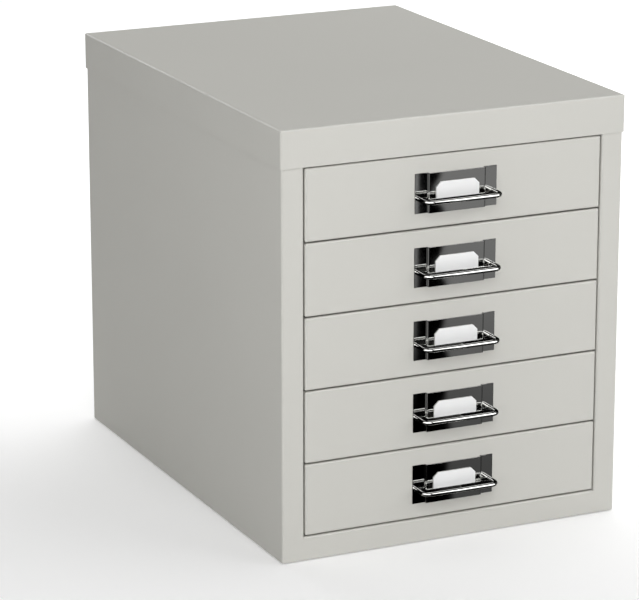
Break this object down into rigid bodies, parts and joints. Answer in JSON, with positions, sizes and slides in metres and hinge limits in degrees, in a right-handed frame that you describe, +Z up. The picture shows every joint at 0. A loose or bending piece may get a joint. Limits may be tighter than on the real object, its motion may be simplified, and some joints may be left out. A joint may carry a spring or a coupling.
{
  "type": "desktop drawer cabinet",
  "caption": "Small folded-steel desktop cabinet with shallow full-width drawers on channel runners, each with a card holder and a wire-edged pull.",
  "frame": {"origin": "on the surface it stands on, under the centre of the whole cabinet's box, pulls included", "axes": "+Z up, +Y to the back, +X to the right as seen from the front; the drawers open along -Y"},
  "size_m": [0.279, 0.396, 0.325],
  "materials": {
    "cabinet_paint": "warm light grey powder coat, satin, very fine orange peel",
    "runner_zinc": "bright zinc-plated rolled steel, lightly rubbed along the channel",
    "handle_chrome": "bright nickel-chrome plate on pressed steel and wire",
    "index_card": "plain white card, matt",
    "glide_plastic": "black moulded polyethylene, matt"
  },
  "bodies": {
    "carcase": {"top_cap": "cabinet_paint", "top_rail": "cabinet_paint", "left_side": "cabinet_paint", "right_side": "cabinet_paint", "back_panel": "cabinet_paint", "base_panel": "cabinet_paint", "front_rail": "cabinet_paint", "left_liner": "cabinet_paint", "right_liner": "cabinet_paint", "glides": "glide_plastic", "runner_1_left": "runner_zinc", "runner_1_right": "runner_zinc", "runner_2_left": "runner_zinc", "runner_2_right": "runner_zinc", "runner_3_left": "runner_zinc", "runner_3_right": "runner_zinc", "runner_4_left": "runner_zinc", "runner_4_right": "runner_zinc", "runner_5_left": "runner_zinc", "runner_5_right": "runner_zinc"},
    "drawer_1": {"drawer_1_tray": "cabinet_paint", "drawer_1_back": "cabinet_paint", "drawer_1_front": "cabinet_paint", "drawer_1_handle_plate": "handle_chrome", "drawer_1_pull": "handle_chrome", "drawer_1_card": "index_card"},
    "drawer_2": {"drawer_2_tray": "cabinet_paint", "drawer_2_back": "cabinet_paint", "drawer_2_front": "cabinet_paint", "drawer_2_handle_plate": "handle_chrome", "drawer_2_pull": "handle_chrome", "drawer_2_card": "index_card"},
    "drawer_3": {"drawer_3_tray": "cabinet_paint", "drawer_3_back": "cabinet_paint", "drawer_3_front": "cabinet_paint", "drawer_3_handle_plate": "handle_chrome", "drawer_3_pull": "handle_chrome", "drawer_3_card": "index_card"},
    "drawer_4": {"drawer_4_tray": "cabinet_paint", "drawer_4_back": "cabinet_paint", "drawer_4_front": "cabinet_paint", "drawer_4_handle_plate": "handle_chrome", "drawer_4_pull": "handle_chrome", "drawer_4_card": "index_card"},
    "drawer_5": {"drawer_5_tray": "cabinet_paint", "drawer_5_back": "cabinet_paint", "drawer_5_front": "cabinet_paint", "drawer_5_handle_plate": "handle_chrome", "drawer_5_pull": "handle_chrome", "drawer_5_card": "index_card"}
  },
  "joints": [
    {"name": "drawer_1_slide", "type": "slide", "parent": "carcase", "child": "drawer_1", "axis": [0, -1, 0], "range_m": [0, 0.2915]},
    {"name": "drawer_2_slide", "type": "slide", "parent": "carcase", "child": "drawer_2", "axis": [0, -1, 0], "range_m": [0, 0.2915]},
    {"name": "drawer_3_slide", "type": "slide", "parent": "carcase", "child": "drawer_3", "axis": [0, -1, 0], "range_m": [0, 0.2915]},
    {"name": "drawer_4_slide", "type": "slide", "parent": "carcase", "child": "drawer_4", "axis": [0, -1, 0], "range_m": [0, 0.2915]},
    {"name": "drawer_5_slide", "type": "slide", "parent": "carcase", "child": "drawer_5", "axis": [0, -1, 0], "range_m": [0, 0.2915]}
  ]
}
